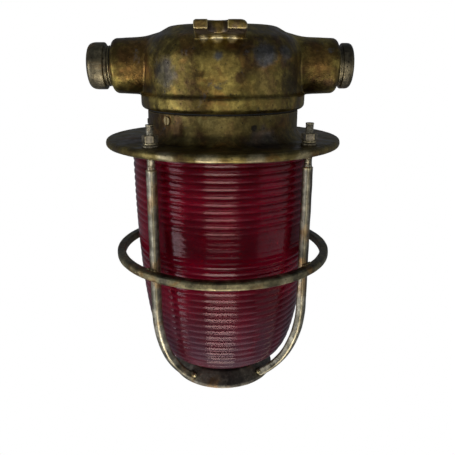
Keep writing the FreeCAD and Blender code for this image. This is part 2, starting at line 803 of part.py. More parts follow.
def make_globe():
    """The moulded globe: screwed neck, sealing shoulder, bold ribs, plain belt, fine ribs, flat foot."""
    wall = size("globe_wall")
    top = size("globe_top_drop")
    thread = size("globe_thread") - size("thread_clearance")
    thread_top = -size("globe_thread_top_drop")
    last_rib = GLOBE_CURVE_TOP + LAST_RIB_SHARE * GLOBE_CURVE_DEPTH
    foot = -size("globe_depth") - size("flange_bottom_drop")
    foot_radius = 37.0
    bold = rib_run(top + 0.6, BELT_TOP_DROP, size("rib_height"))
    belt = curve([Vector(globe_outer_radius(BELT_TOP_DROP + k * (BELT_BOTTOM_DROP - BELT_TOP_DROP) / 4)
                         - (0.4 if k in (0, 4) else 0), 0,
                         -BELT_TOP_DROP - k * (BELT_BOTTOM_DROP - BELT_TOP_DROP) / 4) for k in range(5)])
    fine = rib_run(BELT_BOTTOM_DROP, last_rib, size("fine_rib_height"))
    corner = fine[-1].valueAt(fine[-1].LastParameter)
    inner_drops = [top, 117, 150, 180, 205, 225, 243, 257]
    inner = [Vector(globe_outer_radius(d) - wall - 1, 0, -d) for d in inner_drops]
    inner_floor = foot + wall
    inner += [Vector(38, 0, inner_floor + 1.2), Vector(22, 0, inner_floor), Vector(0, 0, inner_floor)]
    outer_edges = link(bold + [belt] + fine + [
        Part.LineSegment(corner, Vector(foot_radius, 0, foot)).toShape(),
        Part.LineSegment(Vector(foot_radius, 0, foot), Vector(0, 0, foot)).toShape(),
    ])
    outer_start = outer_edges[0].valueAt(outer_edges[0].FirstParameter)
    throat = inner[0].x - 22.4
    neck = [
        Vector(inner[0].x, 0, -top - 4),
        Vector(throat, 0, -top - 2),
        Vector(throat, 0, thread_top),
        Vector(thread, 0, thread_top),
        Vector(thread, 0, -top),
        Vector(outer_start.x, 0, -top),
        outer_start,
    ]
    inner[0] = neck[0]
    neck_edges = [Part.LineSegment(a, b).toShape() for a, b in zip(neck, neck[1:])]
    axis_edge = Part.LineSegment(Vector(0, 0, foot), inner[-1]).toShape()
    node(revolve_outline("globe_turning", outer_edges + [axis_edge, curve(inner[::-1])] + neck_edges), "globe")


def make_globe_gasket():
    """The rubber ring that the globe's shoulder is screwed up against."""
    node(turned("globe_seal", [
        ("globe_thread + 1.5", "-seal_recess_drop"),
        ("seal_recess_radius - 0.5", "-seal_recess_drop"),
        ("seal_recess_radius - 0.5", "-globe_top_drop"),
        ("globe_thread + 1.5", "-globe_top_drop"),
    ]), "globe_gasket")


# ---------------------------------------------------------------- guard


def bar_section(body):
    """The bar's rounded rectangular section, square to its straight upper run."""
    sketch = body.newObject("Sketcher::SketchObject", "bar_section")
    sketch.AttachmentSupport = [(plane(body, "XY_Plane"), "")]
    sketch.MapMode = "FlatFace"
    bind(sketch, AttachmentOffset__Base__z="-bar_top_drop")
    half_depth = size("bar_depth") / 2
    half_width = size("bar_width") / 2
    corner = size("bar_corner")
    middle = size("guard_radius")
    lines = [
        ((half_depth - corner, -half_width), (-half_depth + corner, -half_width)),
        ((-half_depth, -half_width + corner), (-half_depth, half_width - corner)),
        ((-half_depth + corner, half_width), (half_depth - corner, half_width)),
        ((half_depth, half_width - corner), (half_depth, -half_width + corner)),
    ]
    centres = [(-1, -1, 180), (-1, 1, 90), (1, 1, 0), (1, -1, 270)]
    for k in range(4):
        (x0, y0), (x1, y1) = lines[k]
        sketch.addGeometry(Part.LineSegment(Vector(middle + x0, y0, 0), Vector(middle + x1, y1, 0)), False)
        sx, sy, angle = centres[k]
        centre = Vector(middle + sx * (half_depth - corner), sy * (half_width - corner), 0)
        circle = Part.Circle(centre, Vector(0, 0, 1), corner)
        sketch.addGeometry(Part.ArcOfCircle(circle, math.radians(angle), math.radians(angle + 90)), False)
    return sketch


def bar_path(body):
    """The bar's centre line: straight down, one long bend inwards, a short straight tip."""
    sketch = body.newObject("Sketcher::SketchObject", "bar_path")
    sketch.AttachmentSupport = [(plane(body, "XZ_Plane"), "")]
    sketch.MapMode = "FlatFace"
    radius = size("guard_radius")
    bend = size("bar_bend_radius")
    angle = math.radians(size("bar_bend_angle"))
    bend_start = -size("bar_bend_drop")
    centre = Vector(radius - bend, bend_start, 0)
    bend_end = centre + Vector(math.cos(angle), -math.sin(angle), 0) * bend
    tip = bend_end + Vector(-math.sin(angle), -math.cos(angle), 0) * size("bar_tip")
    sketch.addGeometry(Part.LineSegment(Vector(radius, -size("bar_top_drop"), 0),
                                        Vector(radius, bend_start, 0)), False)
    circle = Part.Circle(centre, Vector(0, 0, 1), bend)
    sketch.addGeometry(Part.ArcOfCircle(circle, -angle, 0), False)
    sketch.addGeometry(Part.LineSegment(bend_end, tip), False)
    return sketch


def make_bar(k):
    """One guard bar with its round stud above the shoulder."""
    body = doc.addObject("PartDesign::Body", f"bar_{k}")
    section = bar_section(body)
    path = bar_path(body)
    pipe = body.newObject("PartDesign::AdditivePipe", "bar_sweep")
    pipe.Profile = section
    pipe.Spine = path
    stud_sketch = body.newObject("Sketcher::SketchObject", "stud_section")
    stud_sketch.AttachmentSupport = [(plane(body, "XY_Plane"), "")]
    stud_sketch.MapMode = "FlatFace"
    bind(stud_sketch, AttachmentOffset__Base__z="-bar_top_drop")
    stud_sketch.addGeometry(Part.Circle(Vector(size("guard_radius"), 0, 0), Vector(0, 0, 1), 3), False)
    centre = stud_sketch.addConstraint(Sketcher.Constraint("DistanceX", -1, 1, 0, 3, 1.0))
    stud_sketch.addConstraint(Sketcher.Constraint("PointOnObject", 0, 3, -1))
    girth = stud_sketch.addConstraint(Sketcher.Constraint("Radius", 0, 3.0))
    stud_sketch.setExpression(f"Constraints[{centre}]", cell("guard_radius"))
    stud_sketch.setExpression(f"Constraints[{girth}]", cell("stud_radius"))
    stud = body.newObject("PartDesign::Pad", "stud_pad")
    stud.Profile = stud_sketch
    stud.setExpression("Length", cell("bar_top_drop - stud_top_drop"))
    body.Tip = stud
    body.Placement = Placement(Vector(), Rotation(Vector(0, 0, 1), 1))
    bind(body, Placement__Rotation__Angle=f"guard_phase + {k * 360 // BARS}")
    return node(body, f"guard_bar_{k + 1}")


def make_guard():
    """Four bars let into a flat ring and into notches in the bottom cap, and their nuts."""
    bars = [make_bar(k) for k in range(BARS)]
    ring = turned("ring_turning", [
        ("ring_inner", "-ring_top_drop"),
        ("ring_outer", "-ring_top_drop"),
        ("ring_outer", "-ring_bottom_drop"),
        ("ring_inner", "-ring_bottom_drop"),
    ], [(1, "ring_rounding"), (2, "ring_rounding"), (0, "ring_rounding / 2"), (3, "ring_rounding / 2")])
    node(cut("ring_notched", ring, bars), "guard_ring")
    cap = turned("cap_disc", [
        (0, "-cap_floor_drop"),
        ("cap_dish", "-cap_floor_drop"),
        ("cap_dish", "-cap_top_drop"),
        ("cap_rim", "-cap_top_drop"),
        ("cap_radius", "-cap_edge_drop"),
        ("cap_radius", "-cap_bottom_drop"),
        (0, "-cap_bottom_drop"),
    ], [(5, 1.0), (4, 1.2), (3, 1.2)])
    node(cut("cap_notched", cap, bars), "guard_cap")


def nut(k):
    """A hexagon nut on one stud."""
    x, y = around(k, "guard_radius")
    base = "-flange_top_drop + washer_thick + spring_washer_thick"
    prism = doc.addObject("Part::Prism", "nut_blank")
    prism.Polygon = 6
    bind(prism, Circumradius="nut_flats / 2 / cos(30)", Height="nut_height")
    at(prism, x, y, base)
    hole = cylinder("nut_thread", "stud_radius + 0.05", "nut_height + 2", x, y, f"{base} - 1")
    return cut("nut", prism, [hole])


def washer(k, base, thickness, radius):
    """A flat ring on one stud."""
    x, y = around(k, "guard_radius")
    disc = cylinder("washer_disc", radius, thickness, x, y, base)
    hole = cylinder("washer_hole", "stud_radius + 0.2", f"{thickness} + 2", x, y, f"{base} - 1")
    return cut("washer", disc, [hole])


def spring_washer(k):
    """A split ring: a washer with a narrow gap."""
    x, y = around(k, "guard_radius")
    base = "-flange_top_drop + washer_thick"
    ring = washer(k, base, "spring_washer_thick", "washer_radius - 0.8")
    gap = block("washer_gap", 4, 1.0, 4, x=f"{x} + stud_radius - 1", y=f"{y} - 0.5", z=f"{base} - 1")
    return cut("spring_washer", ring, [gap])


def make_guard_fasteners():
    node(group("nut_set", [nut(k) for k in range(BARS)]), "guard_nuts")
    node(group("spring_washer_set", [spring_washer(k) for k in range(BARS)]), "guard_spring_washers")
    node(group("washer_set", [washer(k, "-flange_top_drop", "washer_thick", "washer_radius")
                              for k in range(BARS)]), "guard_washers")


# ---------------------------------------------------------------- build and write


def check_document():
    """Stop on any object that failed and any sub-part whose shape isn't sound."""
    for item in doc.Objects:
        if "Invalid" in item.State or "Error" in item.State:
            raise RuntimeError(f"{item.Label} did not build: {item.State}")
    for name, item in nodes.items():
        if item.Shape.isNull() or not item.Shape.isValid() or not item.Shape.Solids:
            raise RuntimeError(f"{name} has no sound shape")


def write_steps():
    os.makedirs("parts", exist_ok=True)
    for name, item in nodes.items():
        item.Shape.exportStep(f"parts/{name}.step")


def main():
    make_junction_box()
    make_neck_flange()
    make_body_gasket()
    make_lock_screw()
    make_gland("left", "left_arm_reach")
    make_gland("right", "right_arm_reach")
    make_terminals()
    make_wires()
    make_lampholder()
    make_lamp()
    make_globe()
    make_globe_gasket()
    make_guard()
    make_guard_fasteners()
    doc.recompute()
    check_document()
    write_steps()
    for name, item in nodes.items():
        print(f"{name}: {len(item.Shape.Solids)} solid(s), {item.Shape.Volume / 1000:.2f} cm3")


main()
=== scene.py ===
"""Looks for the ship lantern: patinated cast brass, deep red ribbed glass, guard, fittings and lamp.

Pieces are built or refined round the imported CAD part, in the part's own frame: origin at the centre of the
flat top face, +Z up, cable glands along X, the usual viewer at -Y. Outlines and places are in millimetres
until the mesh helpers make them metres; lights, camera and shader distances are in metres."""

import json
import math

import bmesh
import bpy
from mathutils import Matrix, Vector, noise


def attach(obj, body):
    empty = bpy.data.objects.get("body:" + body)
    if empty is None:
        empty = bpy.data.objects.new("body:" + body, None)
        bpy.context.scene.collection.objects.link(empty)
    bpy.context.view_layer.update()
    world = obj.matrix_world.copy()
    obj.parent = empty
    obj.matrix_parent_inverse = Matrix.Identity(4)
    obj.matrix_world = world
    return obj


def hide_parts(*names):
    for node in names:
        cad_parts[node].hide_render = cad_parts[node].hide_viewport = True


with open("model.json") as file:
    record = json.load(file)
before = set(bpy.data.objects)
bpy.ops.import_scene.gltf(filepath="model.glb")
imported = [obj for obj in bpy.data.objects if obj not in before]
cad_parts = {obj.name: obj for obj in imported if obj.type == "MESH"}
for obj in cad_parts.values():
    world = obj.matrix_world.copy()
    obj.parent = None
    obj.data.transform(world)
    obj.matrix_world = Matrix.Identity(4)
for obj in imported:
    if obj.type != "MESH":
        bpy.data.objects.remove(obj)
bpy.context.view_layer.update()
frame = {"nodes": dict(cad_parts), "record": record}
NODES = frame["nodes"]
SLOT_OF = {part["node"]: part["material_slot"] for part in frame["record"]["subparts"]}
MM = 0.001

# Heights in millimetres, negative because they are below the top face
GLAND_HEIGHT = -29.0
FLANGE_TOP = -82.4
BAR_TOP = -98.1
RING_TOP = -173.4
RING_BOTTOM = -180.2
BEND_START = -206.6

# The guard: bars on a circle, bent inwards at their foot
GUARD_RADIUS = 79.6
BAR_ANGLES = [math.radians(50.7 + 90 * k) for k in range(4)]
BEND_RADIUS = 98.0
BEND_ANGLE = 49.5
STUD_RADIUS = 3.0

# The globe: depths below the top face, and how its glass is made
NECK_DROP = 89.0
CURVE_TOP = 117.4
CURVE_DEPTH = 155.0
BELT_TOP = 145.1
BELT_BOTTOM = 171.0
RIB_PITCH = 5.66
GLASS_THICKNESS = 6

# The lamp's screw, in the cap and in the holder's shell
LAMP_PITCH = 3.6


# ---------------------------------------------------------------- node graphs


class Graph:
    """A material's node tree round one Principled shader."""

    def __init__(self, name):
        self.material = bpy.data.materials.new(name)
        self.material.use_nodes = True
        self.tree = self.material.node_tree
        self.shader = self.tree.nodes["Principled BSDF"]
        coordinates = self.tree.nodes.new("ShaderNodeTexCoord")
        self.position = coordinates.outputs["Object"]

    def feed(self, socket, value):
        if isinstance(value, bpy.types.NodeSocket):
            self.tree.links.new(value, socket)
        elif isinstance(value, tuple) and len(value) == 3 and socket.type == "RGBA":
            socket.default_value = (*value, 1)
        else:
            socket.default_value = value

    def node(self, kind, inputs=(), **settings):
        made = self.tree.nodes.new("ShaderNode" + kind)
        for key, value in settings.items():
            setattr(made, key, value)
        for key, value in dict(inputs).items():
            self.feed(made.inputs[key], value)
        return made

    def set(self, **inputs):
        for key, value in inputs.items():
            self.feed(self.shader.inputs[key.replace("_", " ")], value)
        return self.material

    def noise(self, scale, detail=4, roughness=0.55, distortion=0.0, stretch=None):
        vector = self.position
        if stretch:
            vector = self.node("VectorMath", {0: vector, 1: stretch}, operation="MULTIPLY").outputs[0]
        made = self.node("TexNoise", {"Vector": vector, "Scale": scale, "Detail": detail,
                                      "Roughness": roughness, "Distortion": distortion})
        return made.outputs["Fac"]

    def cells(self, scale):
        return self.node("TexVoronoi", {"Vector": self.position, "Scale": scale}).outputs["Distance"]

    def math(self, operation, a, b=0.5, c=0.5):
        return self.node("Math", {0: a, 1: b, 2: c}, operation=operation).outputs[0]

    def reach(self, value, low, high, to_low=0.0, to_high=1.0):
        """The value's part between low and high, as a smooth step from to_low to to_high."""
        made = self.node("MapRange", {"Value": value, "From Min": low, "From Max": high,
                                      "To Min": to_low, "To Max": to_high}, interpolation_type="SMOOTHSTEP")
        return made.outputs[0]

    def mix(self, share, a, b):
        made = self.node("Mix", data_type="RGBA")
        self.feed(made.inputs[0], share)
        self.feed(made.inputs[6], a)
        self.feed(made.inputs[7], b)
        return made.outputs[2]

    def ramp(self, value, stops):
        made = self.node("ValToRGB", {"Fac": value})
        elements = made.color_ramp.elements
        while len(elements) < len(stops):
            elements.new(0.5)
        for element, (place, colour) in zip(elements, stops):
            element.position = place
            element.color = (*colour, 1)
        return made.outputs["Color"]

    def bump(self, height, distance, strength=1.0, under=None):
        inputs = {"Height": height, "Distance": distance, "Strength": strength}
        if under:
            inputs["Normal"] = under
        return self.node("Bump", inputs).outputs["Normal"]

    def patch(self, centre, radius):
        """A mask that is 1 near a point, in millimetres, and fades raggedly to 0."""
        point = tuple(MM * c for c in centre)
        ragged = 0.35 * radius * MM
        core = 0.45 * radius * MM
        apart = self.node("VectorMath", {0: self.position, 1: point}, operation="DISTANCE")
        wander = self.math("MULTIPLY_ADD", self.noise(170, 3), 2 * ragged, -ragged)
        return self.reach(self.math("ADD", apart.outputs["Value"], wander), radius * MM, core)


# Colours of old brass and what has settled on it, with a dark that also serves as painted shade and a cream
# that is a painted highlight
OLIVE = (0.155, 0.112, 0.028)
GOLD = (0.33, 0.252, 0.066)
UMBER = (0.085, 0.048, 0.018)
ORANGE = (0.23, 0.115, 0.03)
SLATE = (0.085, 0.088, 0.092)
# soot in pits, and also painted shade in some patches
SOOT_AND_SHADE = (0.022, 0.018, 0.014)
MAUVE = (0.135, 0.110, 0.112)
# a cream for painted highlights on edges that face the low front light
CREAM_HIGHLIGHT = (0.46, 0.40, 0.25)
BRIGHT_EDGE = (0.62, 0.52, 0.28)


def brass(name, tones=(UMBER, OLIVE, GOLD), metallic=0.9, rough=(0.30, 0.52), crust=SLATE, crust_share=0.60,
          patches=(), turned=False, pit_depth=0.25):
    """Old brass: broad tone changes, mottling, a thin crust in places, dark pits, fine grain and given
    patches, among them painted highlights and painted shade.
    """
    g = Graph(name)
    broad = g.noise(24, 3, 0.5, 0.6)
    cloud = g.noise(85, 7, 0.62)
    grain = g.noise(900, 5, 0.6)
    blend = g.math("MULTIPLY_ADD", cloud, 0.55, g.math("MULTIPLY", broad, 0.45))
    colour = g.ramp(blend, list(zip((0.40, 0.50, 0.62), tones)))
    rust = g.reach(g.noise(38, 5, 0.6, 1.0), 0.52, 0.66, 0.0, 0.55)
    colour = g.mix(rust, colour, ORANGE)
    crust_mask = g.reach(g.noise(55, 6, 0.65, 0.4), crust_share, crust_share + 0.10, 0.0, 0.8)
    # patches lay stains, and also painted highlights and painted shade, over the colour
    for centre, radius, tone, strength in patches:
        mask = g.math("MULTIPLY", g.patch(centre, radius), strength)
        colour = g.mix(mask, colour, tone)
    colour = g.mix(crust_mask, colour, crust)
    specks = g.reach(g.cells(300), 0.24, 0.08)
    specks = g.math("MULTIPLY", specks, g.reach(g.noise(110, 2), 0.48, 0.58))
    mottle = g.reach(g.noise(230, 5, 0.7), 0.44, 0.62, 0.72, 1.22)
    colour = g.node("VectorMath", {0: colour, 3: mottle}, operation="SCALE").outputs[0]
    colour = g.mix(g.math("MULTIPLY", specks, 0.8), colour, SOOT_AND_SHADE)
    edges = g.reach(g.node("NewGeometry").outputs["Pointiness"], 0.515, 0.56)
    colour = g.mix(g.math("MULTIPLY", edges, 0.45), colour, BRIGHT_EDGE)
    roughness = g.reach(cloud, 0.35, 0.68, *rough)
    roughness = g.math("MULTIPLY_ADD", crust_mask, 0.25, roughness)
    normal = g.bump(grain, 0.00006, 0.8)
    normal = g.bump(g.noise(160, 5, 0.6), 0.0006, 0.5, normal)
    normal = g.bump(specks, -0.0004, pit_depth, normal)
    if turned:
        lines = g.noise(1500, 2, 0.5, 0.0, (0.02, 0.02, 1.0))
        normal = g.bump(lines, 0.00004, 0.5, normal)
    return g.set(Base_Color=colour, Metallic=g.reach(crust_mask, 0.0, 1.0, metallic, 0.35),
                 Roughness=roughness, Normal=normal)


def plain(name, colour, metallic=0.0, roughness=0.5, vary=0.12, **extra):
    """A simple finish with slight changes of tone and a fine grain."""
    g = Graph(name)
    grain = 600
    depth = 0.00003
    shade = g.reach(g.noise(grain / 6, 5), 0.3, 0.7)
    darker = tuple(c * (1 - 2 * vary) for c in colour)
    normal = g.bump(g.noise(grain, 4), depth, 0.6)
    return g.set(Base_Color=g.mix(shade, darker, colour), Metallic=metallic,
                 Roughness=g.reach(g.noise(grain / 3, 3), 0.3, 0.7, roughness * 0.85, roughness * 1.15),
                 Normal=normal, **extra)


def red_glass():
    """Deep wine-red moulded glass: cloudy in the mass, with a painted grey reflection towards its foot,
    where it is also less clear.
    """
    g = Graph("red_glass")
    reflection_start, reflection_full = -0.180, -0.240
    height = g.node("SeparateXYZ", {"Vector": g.position}).outputs["Z"]
    cloud = g.noise(26, 3, 0.5)
    colour = g.mix(g.reach(cloud, 0.35, 0.65), (0.18, 0.002, 0.014), (0.38, 0.004, 0.034))
    breaks = g.reach(g.noise(70, 5), 0.30, 0.62, 0.6, 1.0)
    # painted reflection: a broken grey haze over the lower glass stands for the low light's reflection; the
    # glass is made less clear there too
    painted_reflection = g.math("MULTIPLY", g.reach(height, reflection_start, reflection_full), breaks)
    colour = g.mix(g.math("MULTIPLY", painted_reflection, 0.8), colour, (0.058, 0.034, 0.050))
    film = g.reach(g.noise(150, 6, 0.65), 0.50, 0.72, 0.0, 0.5)
    colour = g.mix(g.math("MULTIPLY", film, 0.15), colour, (0.12, 0.06, 0.07))
    normal = g.bump(g.noise(60, 3), 0.0004, 0.25)
    normal = g.bump(g.noise(420, 4), 0.00002, 0.4, normal)
    clear = g.math("MULTIPLY_ADD", painted_reflection, -0.30, 0.80)
    return g.set(Base_Color=colour, Transmission_Weight=clear, IOR=1.28, Normal=normal,
                 Specular_IOR_Level=0.25, Specular_Tint=(1.0, 0.80, 0.82),
                 Roughness=g.math("MULTIPLY_ADD", film, 0.22, 0.13))


def clear_glass():
    g = Graph("clear_glass")
    return g.set(Base_Color=(0.97, 0.97, 0.96), Transmission_Weight=1.0, IOR=1.45,
                 Roughness=g.reach(g.noise(90, 3), 0.4, 0.8, 0.0, 0.04))


# Stains, painted highlights and painted shade as (centre, radius, colour, strength), with centre and radius
# in millimetres
BOX_PATCHES = (
    ((-3, -60, -22), 4.5, SLATE, 0.9),
    ((-42, -47, -33), 14, SLATE, 0.55),
    ((30, -55, -20), 12, SLATE, 0.8),
    ((46, -44, -19), 9, SLATE, 0.7),
    # painted shade where the dome's right side turns into the right arm
    ((50, -36, -38), 16, SOOT_AND_SHADE, 0.55),
    ((12, -60, -36), 6, UMBER, 0.9),
    ((24, -58, -42), 15, GOLD, 0.35),
    ((-62, -16, -24), 22, ORANGE, 0.5),
    ((70, -16, -24), 16, ORANGE, 0.5),
    ((-12, -69, -7), 9, MAUVE, 0.7),
    ((8, -69, -7), 10, MAUVE, 0.7),
    # painted highlight along the lower edge of the front lug
    ((-13, -57.5, -10), 4.5, CREAM_HIGHLIGHT, 0.75),
    ((-4, -57.5, -10), 5, CREAM_HIGHLIGHT, 0.8),
    ((6, -57.5, -10), 4.5, CREAM_HIGHLIGHT, 0.7),
)

FLANGE_PATCHES = (
    # painted highlight, with some wear, on the lower front edge of the rim
    ((-38, -84, -87.5), 9, CREAM_HIGHLIGHT, 0.45),
    ((-10, -92, -88), 10, CREAM_HIGHLIGHT, 0.45),
    ((22, -90, -88), 9, CREAM_HIGHLIGHT, 0.4),
    ((55, -74, -88), 9, CREAM_HIGHLIGHT, 0.4),
    ((-70, -60, -86), 12, OLIVE, 0.5),
    ((30, -55, -83), 18, SLATE, 0.45),
    # painted shade on the flange top at the neck's foot, beside the left front nut
    ((-40, -60, -82), 16, SOOT_AND_SHADE, 0.4),
    ((22, -55, -70), 3.2, SOOT_AND_SHADE, 0.9),
    ((-48, -32, -66), 6, UMBER, 0.7),
)

MATERIALS = {
    "cast_brass_box": brass("cast_brass_box", patches=BOX_PATCHES),
    "cast_brass_flange": brass("cast_brass_flange", (UMBER, (0.12, 0.088, 0.026), (0.22, 0.17, 0.058)),
                               rough=(0.36, 0.6), patches=FLANGE_PATCHES),
    "gland_brass": brass("gland_brass", ((0.05, 0.042, 0.028), (0.12, 0.10, 0.062), (0.24, 0.20, 0.12)),
                         rough=(0.28, 0.5), turned=True),
    "small_brass": brass("small_brass", ((0.10, 0.065, 0.02), (0.20, 0.14, 0.05), (0.34, 0.25, 0.10))),
    "sheet_brass": brass("sheet_brass", ((0.35, 0.25, 0.09), (0.55, 0.41, 0.17), (0.68, 0.53, 0.25)),
                         rough=(0.2, 0.36), crust_share=0.7),
    "guard_brass": brass("guard_brass", ((0.07, 0.062, 0.045), (0.19, 0.172, 0.13), (0.42, 0.385, 0.30)),
                         rough=(0.30, 0.52), crust=(0.30, 0.30, 0.29)),
    "ring_brass": brass("ring_brass", ((0.06, 0.052, 0.032), (0.16, 0.138, 0.075), (0.30, 0.26, 0.16)),
                        rough=(0.36, 0.58), crust=(0.18, 0.18, 0.165)),
    "cap_brass": brass("cap_brass", ((0.055, 0.049, 0.040), (0.12, 0.107, 0.083), (0.22, 0.195, 0.15)),
                       rough=(0.42, 0.62), crust=(0.10, 0.10, 0.10), metallic=0.6),
    "fastener_metal": brass("fastener_metal",
                            ((0.06, 0.05, 0.035), (0.15, 0.125, 0.085), (0.30, 0.26, 0.19)),
                            rough=(0.34, 0.55)),
    "red_glass": red_glass(),
    "clear_glass": clear_glass(),
    "joint_ring": plain("joint_ring", (0.012, 0.011, 0.010), roughness=0.8),
    "seal_rubber": plain("seal_rubber", (0.02, 0.02, 0.021), roughness=0.7),
    "porcelain": plain("porcelain", (0.80, 0.77, 0.69), roughness=0.18, vary=0.04, Coat_Weight=0.6),
    "live_insulation": plain("live_insulation", (0.17, 0.06, 0.025), roughness=0.45),
    "neutral_insulation": plain("neutral_insulation", (0.03, 0.07, 0.28), roughness=0.45),
    "lamp_cap_metal": plain("lamp_cap_metal", (0.62, 0.60, 0.54), metallic=1.0, roughness=0.32),
    "lamp_insulation": plain("lamp_insulation", (0.015, 0.013, 0.016), roughness=0.15),
    "solder": plain("solder", (0.50, 0.50, 0.51), metallic=1.0, roughness=0.42, vary=0.2),
    "filament_wire": plain("filament_wire", (0.30, 0.30, 0.31), metallic=1.0, roughness=0.4),
}


# ---------------------------------------------------------------- mesh helpers

ON_AXIS = 1e-6
SAME_RADIUS = 0.01


def new_piece(name, bm, body, replaces, slot=None):
    """A mesh piece that rides on a body, stands for CAD nodes and takes its finish from a slot."""
    slot = slot or SLOT_OF[replaces[0]]
    mesh = bpy.data.meshes.new(name)
    bmesh.ops.recalc_face_normals(bm, faces=bm.faces)
    bm.to_mesh(mesh)
    bm.free()
    mesh.polygons.foreach_set("use_smooth", [True] * len(mesh.polygons))
    piece = bpy.data.objects.new(name, mesh)
    bpy.context.collection.objects.link(piece)
    mesh.materials.append(MATERIALS[slot])
    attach(piece, body)
    if replaces:
        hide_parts(*replaces)
    return piece


def sharpen(piece, angle):
    """Keep edges steeper than an angle crisp in a smooth-shaded piece."""
    piece.data.set_sharp_from_angle(angle=math.radians(angle))


def circle(radius, height, segments):
    """Points round the axis in millimetres."""
    angles = [2 * math.pi * k / segments for k in range(segments)]
    return [(radius * math.cos(angle), radius * math.sin(angle), height) for angle in angles]


def strip(bm, rows, capped=False):
    """Quads between successive closed rings of points in millimetres; a ring of one point closes an end."""
    made = [[bm.verts.new(Vector(point) * MM) for point in row] for row in rows]
    for upper, lower in zip(made, made[1:]):
        count = max(len(upper), len(lower))
        for k in range(count):
            following = (k + 1) % count
            corners = [upper[k % len(upper)], upper[following % len(upper)],
                       lower[following % len(lower)], lower[k % len(lower)]]
            corners = list(dict.fromkeys(corners))
            if len(corners) > 2:
                bm.faces.new(corners)
    if capped:
        bm.faces.new(made[0])
        bm.faces.new(made[-1])
    return made


def lathe(points, segments, shaping=()):
    """A closed outline of (radius, height) points turned about Z.
    shaping holds functions of radius, height and turn that add to the radius."""
    bm = bmesh.new()
    rows = []
    for radius, height in points:
        if radius < ON_AXIS:
            rows.append([(0, 0, height)])
            continue
        row = []
        for k in range(segments):
            turn = k / segments
            angle = 2 * math.pi * turn
            r = radius + sum(shape(radius, height, turn) for shape in shaping)
            row.append((r * math.cos(angle), r * math.sin(angle), height))
        rows.append(row)
    made = strip(bm, rows)
    first, last = made[0], made[-1]
    if len(first) > 1 and len(last) > 1:
        for k in range(segments):
            following = (k + 1) % segments
            bm.faces.new([last[k], last[following], first[following], first[k]])
    return bm


def softened(points, steps=4):
    """(radius, height, rounding) corners as an outline whose corners are short curves."""
    longest_share = 0.49
    outline = []
    for k, (radius, height, rounding) in enumerate(points):
        corner = Vector((radius, height))
        if not rounding:
            outline.append((radius, height))
            continue
        before = Vector(points[k - 1][:2]) - corner
        after = Vector(points[(k + 1) % len(points)][:2]) - corner
        start = corner + before.normalized() * min(rounding, before.length * longest_share)
        stop = corner + after.normalized() * min(rounding, after.length * longest_share)
        for step in range(steps + 1):
            t = step / steps
            point = start * (1 - t) ** 2 + corner * 2 * t * (1 - t) + stop * t ** 2
            outline.append((point.x, point.y))
    return outline


def helix(at_radius, depth, pitch, low, high, round_form=False):
    """A screw thread cut inwards from one radius of a turned piece, between two heights."""

    def cut(radius, height, turn):
        if abs(radius - at_radius) > SAME_RADIUS or not low < height < high:
            return 0.0
        ease = min(1.0, (height - low) / pitch, (high - height) / pitch)
        phase = (height / pitch - turn) % 1.0
        wave = 0.5 - 0.5 * math.cos(2 * math.pi * phase) if round_form else abs(2 * phase - 1)
        return -depth * ease * wave

    return cut


def uneven(depth, size, seed=0.0):
    """Hand-finished unevenness: never outside the true radius."""

    def shift(radius, height, turn):
        angle = 2 * math.pi * turn
        place = Vector((radius * math.cos(angle), radius * math.sin(angle), height)) / size
        return -depth * (0.5 + 0.5 * noise.noise(place + Vector((seed, seed, seed))))

    return shift


def moved(bm, matrix):
    """The same mesh after a transform in metres."""
    bmesh.ops.transform(bm, matrix=matrix, verts=bm.verts)
    return bm


def along_x(bm, side):
    """Lay a piece turned about Z along a gland's axis."""
    turn = Matrix.Rotation(math.radians(90 * side), 4, "Y")
    return moved(bm, Matrix.Translation((0, 0, GLAND_HEIGHT * MM)) @ turn)


def join(whole, single):
    """Add one mesh to another and drop the first."""
    mesh = bpy.data.meshes.new("single")
    single.to_mesh(mesh)
    single.free()
    whole.from_mesh(mesh)
    bpy.data.meshes.remove(mesh)


def copies(make, places):
    """One mesh that holds a copy of a piece at each place in millimetres."""
    whole = bmesh.new()
    for place in places:
        join(whole, moved(make(), Matrix.Translation(Vector(place) * MM)))
    return whole


def tube(points, radius, sides, bm):
    """A round wire through points in millimetres, a little thinner at its ends, added to a mesh."""
    path = [Vector(point) for point in points]
    side = None
    rows = []
    for k, here in enumerate(path):
        ahead = (path[min(k + 1, len(path) - 1)] - path[max(k - 1, 0)]).normalized()
        if side is None:
            side = ahead.orthogonal().normalized()
        side = (side - ahead * side.dot(ahead)).normalized()
        other = ahead.cross(side)
        girth = radius * (0.7 if k in (0, len(path) - 1) else 1.0)
        rows.append([here + (side * math.cos(a) + other * math.sin(a)) * girth
                     for a in (2 * math.pi * s / sides for s in range(sides))])
    strip(bm, rows, capped=True)


def lump(bm, centre, radii, seed):
    """A small uneven blob of braze, added to a mesh."""
    made = bmesh.ops.create_icosphere(bm, subdivisions=3, radius=1.0)["verts"]
    for vertex in made:
        swell = 1 + 0.28 * noise.noise(vertex.co * 1.6 + Vector((seed, 3.1 * seed, 0)))
        offset = Vector([c * r for c, r in zip(vertex.co, radii)]) * swell
        vertex.co = (Vector(centre) + offset) * MM


# ---------------------------------------------------------------- castings and plain fittings


